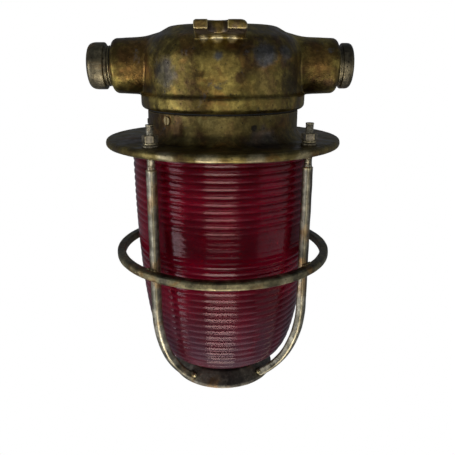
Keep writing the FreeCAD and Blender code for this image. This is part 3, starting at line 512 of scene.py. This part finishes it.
def refine(node, voxel=0.8, smooth=6, relief=0.12, scale=3.0):
    """Give a CAD casting soft edges and a cast surface: remesh, ease and displace it slightly."""
    piece = NODES[node]
    remesh = piece.modifiers.new("even_mesh", "REMESH")
    remesh.mode = "VOXEL"
    remesh.voxel_size = voxel * MM
    remesh.use_smooth_shade = True
    ease = piece.modifiers.new("ease", "SMOOTH")
    ease.factor = 0.5
    ease.iterations = smooth
    layers = (("swell", scale * 4, relief * 1.5, 0.6), ("skin", scale, relief, 0.62))
    for name, size, depth, centre in layers:
        texture = bpy.data.textures.new(f"{node}_{name}", "CLOUDS")
        texture.noise_scale = size * MM
        texture.noise_depth = 3
        cast = piece.modifiers.new(name, "DISPLACE")
        cast.texture = texture
        cast.texture_coords = "LOCAL"
        cast.strength = depth * MM
        cast.mid_level = centre


def ease_edges(node, width, segments=2):
    """Break the sharp edges of a small machined or moulded CAD piece."""
    piece = NODES[node]
    bevel = piece.modifiers.new("broken_edges", "BEVEL")
    bevel.width = width * MM
    bevel.segments = segments
    bevel.limit_method = "ANGLE"
    bevel.angle_limit = math.radians(40)


def dress(node):
    """Put the slot's material on a CAD node."""
    mesh = NODES[node].data
    mesh.materials.clear()
    mesh.materials.append(MATERIALS[SLOT_OF[node]])
    for polygon in mesh.polygons:
        polygon.material_index = 0


# ---------------------------------------------------------------- glass globe


def globe_radius(drop):
    """Crest radius of the globe at a depth: nearly straight, then one full round curve."""
    curve_radius = 71.9
    taper = 0.4
    if drop <= CURVE_TOP:
        return curve_radius + taper - taper * (drop - NECK_DROP) / (CURVE_TOP - NECK_DROP)
    share = min(1.0, (drop - CURVE_TOP) / CURVE_DEPTH)
    return curve_radius * (1 - share ** 1.6) ** (1 / 7.9)


def ribs(start, stop, pitch, height, steps):
    """Outline points of moulded ribs between two depths."""
    count = round((stop - start) / pitch)
    points = []
    for k in range(count * steps):
        drop = start + (stop - start) * k / (count * steps)
        share = (k % steps) / steps
        crest = 1 - abs(2 * share - 1) ** 2.2
        points.append((globe_radius(drop) - height * (1 - crest), -drop))
    return points


def make_globe():
    """The moulded globe: screwed neck, sealing shoulder, bold ribs, faint belt, fine ribs, flat foot."""
    last_rib = CURVE_TOP + 0.965 * CURVE_DEPTH
    foot = -272.8
    throat = 43.9
    thread_radius = 49.92
    rim = -79
    shoulder = -NECK_DROP
    bold_rib, faint_rib, fine_rib = 1.0, 0.22, 0.7
    neck = softened([(throat, shoulder - 2, 1.5), (throat, rim, 0.8), (thread_radius, rim, 0),
                     (thread_radius, shoulder, 0), (70.2, shoulder, 0.5)])
    outside = ribs(NECK_DROP + 0.6, BELT_TOP, RIB_PITCH, bold_rib, 10)
    outside += ribs(BELT_TOP, BELT_BOTTOM, 5.2, faint_rib, 8)
    outside += ribs(BELT_BOTTOM, last_rib, RIB_PITCH, fine_rib, 8)
    outside += softened([(globe_radius(last_rib) - fine_rib, -last_rib, 0.5), (37, foot, 1.4),
                         (34, foot + 0.3, 0)])
    outside += [(0, foot + 0.3)]
    inside = [(0, foot + 5), (22, foot + 5), (38, foot + 6.2), (44, -265.2)]
    inside += [(globe_radius(drop) - GLASS_THICKNESS, -drop) for drop in range(262, 112, -5)]
    inside += [(66.3, -100), (66.3, -93)]
    thread = helix(thread_radius, 0.9, 3.0, shoulder + 0.5, rim - 0.3, round_form=True)
    outline = thread_rows(neck, thread_radius) + outside + inside
    new_piece("glass_globe", lathe(outline, 240, (thread, uneven(0.12, 14.0, 4.0))), "globe", ["globe"])


def thread_rows(outline, at_radius):
    """The outline with closely spaced rows along the run at one radius, for a thread to be cut in."""
    row_height = 0.35
    rows = []
    for (r0, z0), (r1, z1) in zip(outline, outline[1:]):
        threaded = abs(r0 - at_radius) < SAME_RADIUS and abs(r1 - at_radius) < SAME_RADIUS
        count = max(1, int(abs(z1 - z0) / row_height)) if threaded else 1
        rows += [(r0 + (r1 - r0) * k / count, z0 + (z1 - z0) * k / count) for k in range(count)]
    return rows + [outline[-1]]


# ---------------------------------------------------------------- guard


def bar_line():
    """Stations down a bar's centre line as (reach, height, lean), from its shoulder to its tip."""
    straight_steps = 60
    bend_steps = 36
    fall = BAR_TOP - BEND_START
    stations = [(GUARD_RADIUS, BAR_TOP - fall * k / straight_steps, 0.0) for k in range(straight_steps + 1)]
    lean = math.radians(BEND_ANGLE)
    for k in range(1, bend_steps + 1):
        a = lean * k / bend_steps
        reach = GUARD_RADIUS - BEND_RADIUS * (1 - math.cos(a))
        stations.append((reach, BEND_START - BEND_RADIUS * math.sin(a), a))
    reach, height, _ = stations[-1]
    stations += [(reach - math.sin(lean) * d, height - math.cos(lean) * d, lean) for d in (2, 4, 6, 6.9)]
    return stations


def directions(angle):
    """Unit vectors outwards and sideways at an angle round the axis."""
    return Vector((math.cos(angle), math.sin(angle), 0)), Vector((-math.sin(angle), math.cos(angle), 0))


def bar_section(half_depth, half_width, corner, steps=5):
    """A rounded rectangle as (outward, sideways) pairs."""
    pairs = []
    for quarter, (sx, sy) in enumerate(((1, 1), (-1, 1), (-1, -1), (1, -1))):
        for k in range(steps):
            a = math.radians(90 * (quarter + k / (steps - 1)))
            pairs.append((sx * (half_depth - corner) + corner * math.cos(a),
                          sy * (half_width - corner) + corner * math.sin(a)))
    return pairs


def make_bar(k):
    """One hammered bar with a broken shoulder and a screwed stud."""
    out, across = directions(BAR_ANGLES[k])
    section = bar_section(3.4, 3.6, 2.2)
    stations = bar_line()
    rows = []
    for index, (reach, height, lean) in enumerate(stations):
        outward = out * math.cos(lean) + Vector((0, 0, -math.sin(lean)))
        middle = out * reach + Vector((0, 0, height))
        place = Vector((height / 9, 7.0 * k, lean))
        girth = 0.965 + 0.035 * noise.noise(place)
        if index in (0, len(stations) - 1):
            girth *= 0.86
        drift = 0.12 * noise.noise(place * 0.6 + Vector((5, 0, 0)))
        rows.append([middle + outward * (u * girth + drift) + across * (v * girth + drift)
                     for u, v in section])
        if index == 0:
            rows.append([middle - Vector((0, 0, 0.6)) + outward * u * 0.985 + across * v * 0.985
                         for u, v in section])
    bm = bmesh.new()
    strip(bm, rows, capped=True)
    top, root = -66.7, -98.6
    stud = softened([(0, top, 0), (STUD_RADIUS, top, 0.5), (STUD_RADIUS, root, 0), (0, root, 0)])
    thread = helix(STUD_RADIUS, 0.42, 1.0, root + 1.6, top - 0.5)
    join(bm, moved(lathe(thread_rows(stud, STUD_RADIUS), 28, (thread,)),
                   Matrix.Translation(out * GUARD_RADIUS * MM)))
    sharpen(new_piece(f"hammered_bar_{k + 1}", bm, "guard", [f"guard_bar_{k + 1}"]), 50)


def make_braze():
    """Braze where each bar meets the ring and the cap."""
    bm = bmesh.new()
    lean = math.radians(BEND_ANGLE)
    cap_reach = GUARD_RADIUS - BEND_RADIUS * (1 - math.cos(lean)) - 2.4
    cap_height = BEND_START - BEND_RADIUS * math.sin(lean) - 0.6
    ring_reach = 82.9
    for k, angle in enumerate(BAR_ANGLES):
        out, across = directions(angle)
        for side in (-1, 1):
            for height, seed in ((RING_TOP - 0.3, 1), (RING_BOTTOM + 0.3, 2)):
                place = out * ring_reach + across * side * 3.7 + Vector((0, 0, height))
                lump(bm, place, (1.5, 1.5, 1.2), seed + 7 * k + 3 * side)
            place = out * cap_reach + across * side * 3.9 + Vector((0, 0, cap_height))
            lump(bm, place, (1.9, 1.9, 2.0), 31 + 5 * k + side)
        place = out * (ring_reach + 0.3) + Vector((0, 0, RING_TOP - 0.1))
        lump(bm, place, (1.3, 1.3, 0.9), 50 + k)
    new_piece("guard_braze", bm, "guard", (), "ring_brass")


def hex_nut():
    """A hexagon nut with chamfered corners and a plain bore, standing on z = 0."""
    flats, height, bore = 10.0, 5.0, 3.05
    bevel = 0.45
    segments = 72

    def ring(level):
        limit = flats / 2 + 0.05 + 1.6 * min(level, height - level)
        row = []
        for k in range(segments):
            angle = 2 * math.pi * k / segments
            side = flats / 2 / math.cos((angle % (math.pi / 3)) - math.pi / 6)
            r = min(side, limit)
            row.append((r * math.cos(angle), r * math.sin(angle), level))
        return row

    levels = [0, 0.12, 0.25, 0.4, 0.6, 2.5, 4.4, 4.6, 4.75, 4.88, 5.0]
    rows = [circle(bore + bevel, 0, segments)] + [ring(level) for level in levels]
    rows += [circle(bore + bevel, height, segments), circle(bore, height - bevel, segments)]
    rows += [circle(bore, bevel, segments), circle(bore + bevel, 0, segments)]
    bm = bmesh.new()
    strip(bm, rows)
    bmesh.ops.remove_doubles(bm, verts=bm.verts, dist=1e-7)
    return bm


def split_washer():
    """A spring washer: a split square ring whose ends stand apart, standing on z = 0."""
    middle_radius, half_height = 4.2, 0.74
    steps = 48
    rows = []
    for k in range(steps + 1):
        angle = math.radians(7 + 346 * k / steps)
        rise = 0.32 * k / steps
        rows.append([((middle_radius + u) * math.cos(angle), (middle_radius + u) * math.sin(angle),
                      half_height + rise + v) for u, v in bar_section(0.95, 0.7, 0.22, 3)])
    bm = bmesh.new()
    strip(bm, rows, capped=True)
    return bm


def make_fasteners():
    """Nut, spring washer and flat washer on each stud."""
    washer_thickness, nut_rise = 1.6, 3.4
    spots = [(GUARD_RADIUS * math.cos(a), GUARD_RADIUS * math.sin(a)) for a in BAR_ANGLES]
    washer = softened([(3.25, 0, 0.15), (6.0, 0, 0.3), (6.0, washer_thickness, 0.4),
                       (3.25, washer_thickness, 0.25)])
    nuts = copies(hex_nut, [(x, y, FLANGE_TOP + nut_rise) for x, y in spots])
    sharpen(new_piece("chamfered_nuts", nuts, "guard_fasteners", ["guard_nuts"]), 24)
    rings = copies(split_washer, [(x, y, FLANGE_TOP + washer_thickness) for x, y in spots])
    new_piece("split_washers", rings, "guard_fasteners", ["guard_spring_washers"])
    flats = copies(lambda: lathe(washer, 48), [(x, y, FLANGE_TOP) for x, y in spots])
    new_piece("bevelled_washers", flats, "guard_fasteners", ["guard_washers"])


# ---------------------------------------------------------------- cable glands


def make_gland(side, head_radius, head_start, head_end, dome):
    """The screwed hollow nut with its domed head, the thrust washer and the rubber bush."""
    sign = -1 if side == "left" else 1
    thread_radius = 15.42
    bore, seat_radius = 7.0, 14.9
    bush_start, washer_start, nut_start = 62.0, 74.0, 76.0
    outline = thread_rows(softened([
        (bore, nut_start, 0.3), (thread_radius, nut_start, 0), (thread_radius, head_start, 0),
        (head_radius, head_start, 1.2), (head_radius, head_end, dome), (bore, head_end, 1.0),
    ], 7), thread_radius)
    thread = helix(thread_radius, 0.95, 2.0, nut_start + 0.3, head_start - 0.5)
    bm = lathe(outline, 128, (thread, uneven(0.10, 5.0, 2.0)))
    new_piece(f"gland_nut_{side}_turned", along_x(bm, sign), f"{side}_gland_nut", [f"gland_nut_{side}"])
    washer = softened([(bore, washer_start, 0.2), (seat_radius, washer_start, 0.4),
                       (seat_radius, nut_start, 0.4), (bore, nut_start, 0.2)])
    bm = along_x(lathe(washer, 96), sign)
    new_piece(f"thrust_washer_{side}", bm, "housing", [f"gland_washer_{side}"])
    bush = [(5.5, bush_start, 0.4), (seat_radius, bush_start, 0.6)]
    for groove in (65.5, 68.5, 71.5):
        bush += [(seat_radius, groove - 0.5, 0.2), (14.5, groove, 0.2), (seat_radius, groove + 0.5, 0.2)]
    bush += [(seat_radius, washer_start, 0.6), (5.5, washer_start, 0.4)]
    bm = along_x(lathe(softened(bush), 96), sign)
    new_piece(f"ribbed_bush_{side}", bm, "housing", [f"gland_bush_{side}"])


# ---------------------------------------------------------------- joints, holder and lamp


def make_seals():
    """The thin ring between box and neck, and the globe's shoulder seal."""
    ring = softened([(55.2, -60.3, 0.2), (58.6, -60.3, 0.35), (58.6, -61.3, 0.35), (55.2, -61.3, 0.2)])
    new_piece("joint_ring_pressed", lathe(ring, 192, (uneven(0.25, 6.0),)), "housing", ["body_gasket"])
    seal = softened([(51.5, -86.3, 0.4), (70.5, -86.3, 0.6), (70.5, -89.0, 0.9), (51.5, -89.0, 0.4)])
    new_piece("shoulder_seal", lathe(seal, 192, (uneven(0.15, 7.0),)), "globe_seal", ["globe_gasket"])


def make_holder():
    """Glazed porcelain holder with finger grooves, and its screwed brass shell."""
    radius, groove_radius, bore = 21.0, 20.2, 14.25
    top, ceiling, rim = -79.0, -90.6, -118.0
    outline = [(0.0, top, 0), (radius, top, 3.4)]
    for height in (-96.0, -101.0, -106.0):
        outline += [(radius, height + 1.0, 0.4), (groove_radius, height, 0.5), (radius, height - 1.0, 0.4)]
    outline += [(radius, rim, 1.8), (14.6, rim, 0.6), (bore, rim + 2.0, 0), (bore, ceiling, 0),
                (0.0, ceiling, 0)]
    new_piece("porcelain_holder", lathe(softened(outline, 6), 128), "housing", ["lampholder_body"])
    outer, inner, step = 14.2, 13.95, 0.4
    shell_top, shell_foot = -92, -116
    shell = [(outer, shell_top - step * k) for k in range(61)]
    shell += [(inner, shell_foot + step * k) for k in range(61)]
    threads = [helix(wall, 0.3, LAMP_PITCH, -115.4, -92.6, round_form=True) for wall in (outer, inner)]
    new_piece("screwed_shell", lathe(shell, 96, threads), "housing", ["lampholder_shell"])


def bulb_radius(share, inset):
    """Radius of the envelope at a share of its length: a swelling neck, then an elliptic end."""
    widest = 30.0 - inset
    neck = 12.2 - inset
    widest_share = 0.62
    if share < widest_share:
        return neck + (widest - neck) * (1 - math.cos(math.pi * share / widest_share)) / 2
    return widest * math.sqrt(max(0.0, 1 - ((share - widest_share) / (1 - widest_share)) ** 2))


def bulb_outline(inset):
    """The envelope's wall from its neck to its tip, some way inside its outer face."""
    top = -119.0
    length = 81.0 - inset
    shares = [k / 60 for k in range(58)] + [0.965, 0.98, 0.99, 0.996]
    return [(bulb_radius(u, inset), top - length * u) for u in shares] + [(0.0, top - length)]


def make_lamp():
    """Blown envelope, screwed cap, black glass insulator, solder tip, glass stem and coiled filament."""
    wall = 0.8
    new_piece("blown_envelope", shell_of(bulb_outline(0.0), bulb_outline(wall)), "lamp", ["lamp_envelope"])
    outer, inner, step = 13.3, 12.7, 0.4
    cap = [(9.0, -98.5), (12.6, -100.6)] + [(outer, -101.4 - step * k) for k in range(50)]
    cap += [(inner, -121 + step * k) for k in range(49)] + [(12.1, -101.6), (9.0, -99.1)]
    threads = [helix(side, 0.9, LAMP_PITCH, -119.0, -101.5, round_form=True) for side in (outer, inner)]
    new_piece("screwed_cap", lathe(cap, 128, threads), "lamp", ["lamp_cap"])
    insulator = softened([(4.6, -95.9, 0.2), (9.0, -98.5, 0.3), (9.0, -99.1, 0.2), (4.6, -97.4, 0.2)])
    new_piece("glass_insulator", lathe(insulator, 64), "lamp", ["lamp_insulator"])
    tip = softened([(0.0, -95.0, 0), (2.8, -95.1, 0.9), (4.6, -95.9, 0.3), (4.6, -97.4, 0.2),
                    (0.0, -97.4, 0)])
    new_piece("solder_tip", lathe(tip, 48, (uneven(0.2, 1.3),)), "lamp", ["lamp_tip"])
    stem = softened([(0.0, -112.0, 0), (10.4, -119.6, 0.5), (3.2, -128.0, 3.0), (2.4, -146.0, 0.9),
                     (0.0, -146.0, 0)])
    new_piece("pinched_stem", lathe(stem, 64), "lamp", ["lamp_stem"])
    make_filament()


def make_filament():
    """Two leads, three supports and the coiled wire that they hold in a half ellipse."""
    level, half_span, bow = -166, 13, 7.8
    coil_radius, coil_turns, turn_steps = 0.36, 100, 12
    wires = bmesh.new()
    for s in (-1, 1):
        lead = [(1.3 * s, 0, -140), (1.3 * s, 0, -146), (7.0 * s, 0, -156), (half_span * s, 0, level)]
        tube(lead, 0.32, 8, wires)
    for k in range(1, 4):
        a = math.pi * k / 4
        tube([(0, 0, -145), (-half_span * math.cos(a), bow * math.sin(a), level)], 0.16, 6, wires)
    coil = []
    steps = coil_turns * turn_steps
    for k in range(steps + 1):
        a = math.pi * k / steps
        twist = 2 * math.pi * k / turn_steps
        swing = coil_radius * math.cos(twist)
        coil.append((-(half_span + swing) * math.cos(a), (bow + swing) * math.sin(a),
                     level + coil_radius * math.sin(twist)))
    tube(coil, 0.09, 5, wires)
    new_piece("coiled_filament", wires, "lamp", ["lamp_filament"])


def shell_of(outer, inner, segments=128):
    """Outer and inner walls of a blown shell, from open neck to closed tip, joined at the neck."""
    bm = bmesh.new()
    rims = []
    for wall in (outer, inner):
        rows = []
        for radius, height in wall:
            rows.append(circle(radius, height, segments if radius > ON_AXIS else 1))
        rims.append(strip(bm, rows)[0])
    for k in range(segments):
        following = (k + 1) % segments
        bm.faces.new([rims[0][k], rims[0][following], rims[1][following], rims[1][k]])
    return bm


def make_wires():
    """Insulated wires from the terminals down through the neck to the lampholder."""
    radius = 1.38
    curve_steps = 8
    for name, s in (("wire_live", -1), ("wire_neutral", 1)):
        x = 5.0 * s
        corners = ((x, -2.5, -18), (x, -16, -18), (x * 1.4, -19, -34), (x * 1.4, -14, -50),
                   (x * 1.2, -6, -63), (x * 1.1, 0, -75), (x * 1.1, 0, -81.5))
        route = [Vector(corner) for corner in corners]
        path = [route[0]]
        for before, corner, after in zip(route, route[1:], route[2:]):
            reach = 0.45 * min((corner - before).length, (after - corner).length)
            first = corner + (before - corner).normalized() * reach
            last = corner + (after - corner).normalized() * reach
            path += [first * (1 - t) ** 2 + corner * 2 * t * (1 - t) + last * t ** 2
                     for t in (step / curve_steps for step in range(curve_steps + 1))]
        path.append(route[-1])
        bm = bmesh.new()
        tube(path, radius, 16, bm)
        new_piece(name + "_insulated", bm, "housing", [name])


for part in SLOT_OF:
    dress(part)
refine("junction_box")
refine("neck_flange", 0.8, 3)
refine("guard_ring", 0.45, 3, 0.10, 2.0)
refine("guard_cap", 0.6, 3, 0.12, 3.0)
ease_edges("terminal_block", 0.7, 3)
for part, width in (("terminal_barrels", 0.25), ("terminal_block_screws", 0.25), ("earth_screw", 0.35),
                    ("lampholder_plate", 0.3), ("lampholder_screws", 0.3), ("lampholder_contact", 0.15),
                    ("neck_lock_screw", 0.15)):
    ease_edges(part, width)
make_globe()
for bar in range(4):
    make_bar(bar)
make_braze()
make_fasteners()
make_gland("left", 17.6, 90.0, 103.0, 6.6)
make_gland("right", 17.0, 90.6, 99.0, 5.2)
make_seals()
make_holder()
make_lamp()
make_wires()


# ---------------------------------------------------------------- camera, light and floor


def make_camera():
    """In front of the box, looking down a little, as in the photograph."""
    downward_tilt = 17.6
    data = bpy.data.cameras.new("camera")
    data.sensor_width = 36
    data.lens = 41.93
    data.shift_x = 0.0103
    data.clip_start = 0.01
    data.clip_end = 60
    camera = bpy.data.objects.new("camera", data)
    camera.location = (0, -0.4301, -0.0241)
    camera.rotation_euler = (math.radians(90 - downward_tilt), 0, 0)
    bpy.context.collection.objects.link(camera)
    bpy.context.scene.camera = camera


def make_light(name, place, target, width, height, power, colour):
    """A rectangular area light turned towards a target."""
    data = bpy.data.lights.new(name, "AREA")
    data.shape = "RECTANGLE"
    data.size = width
    data.size_y = height
    data.energy = power
    data.color = colour
    light = bpy.data.objects.new(name, data)
    light.location = place
    light.rotation_euler = (Vector(target) - Vector(place)).to_track_quat("-Z", "Y").to_euler()
    bpy.context.collection.objects.link(light)


def glowing_white(name):
    """A plain white that no light changes."""
    material = bpy.data.materials.new(name)
    material.use_nodes = True
    tree = material.node_tree
    tree.nodes.remove(tree.nodes["Principled BSDF"])
    glow = tree.nodes.new("ShaderNodeEmission")
    glow.inputs["Color"].default_value = (1, 1, 1, 1)
    glow.inputs["Strength"].default_value = 1.0
    tree.links.new(glow.outputs[0], tree.nodes["Material Output"].inputs["Surface"])
    return material


def backdrop_only(piece):
    """The camera sees it, and it neither lights nor colours the lantern."""
    piece.visible_diffuse = False
    piece.visible_glossy = False
    piece.visible_transmission = False
    piece.visible_shadow = False


def make_stage():
    """A white floor well below the hanging lantern, inside a white shell."""
    floor_drop = 0.66
    shell_radius = 7.0
    bpy.ops.mesh.primitive_circle_add(vertices=96, radius=shell_radius, fill_type="NGON",
                                      location=(0, 0, -floor_drop))
    floor = bpy.context.object
    floor.name = "floor"
    floor.data.materials.append(glowing_white("pale_floor"))
    backdrop_only(floor)
    bpy.ops.mesh.primitive_uv_sphere_add(segments=48, ring_count=24, radius=shell_radius)
    shell = bpy.context.object
    shell.name = "backdrop"
    shell.data.materials.append(glowing_white("pale_backdrop"))
    backdrop_only(shell)


def make_world():
    """Dim, slightly blue light from all round."""
    world = bpy.data.worlds.new("studio")
    world.use_nodes = True
    background = world.node_tree.nodes["Background"]
    background.inputs["Color"].default_value = (0.80, 0.88, 1.0, 1)
    background.inputs["Strength"].default_value = 0.17
    bpy.context.scene.world = world


make_camera()
make_stage()
make_world()
make_light("low_front", (-0.05, -0.62, -0.95), (0, 0, -0.10), 0.55, 0.55, 8, (1.0, 0.95, 0.84))
make_light("left", (-0.9, -0.45, -0.35), (0, 0, -0.12), 0.4, 0.8, 5, (0.92, 0.95, 1.0))
make_light("front", (0.0, -1.3, -0.30), (0, 0, -0.10), 0.9, 0.6, 3.5, (1.0, 0.97, 0.92))
make_light("right", (0.95, -0.40, -0.30), (0, 0, -0.12), 0.8, 0.9, 1.6, (0.95, 0.97, 1.0))
make_light("under", (0.0, -0.35, -1.25), (0, 0, -0.20), 1.2, 1.0, 3, (0.92, 0.94, 1.0))
bpy.context.scene.view_settings.view_transform = "Standard"
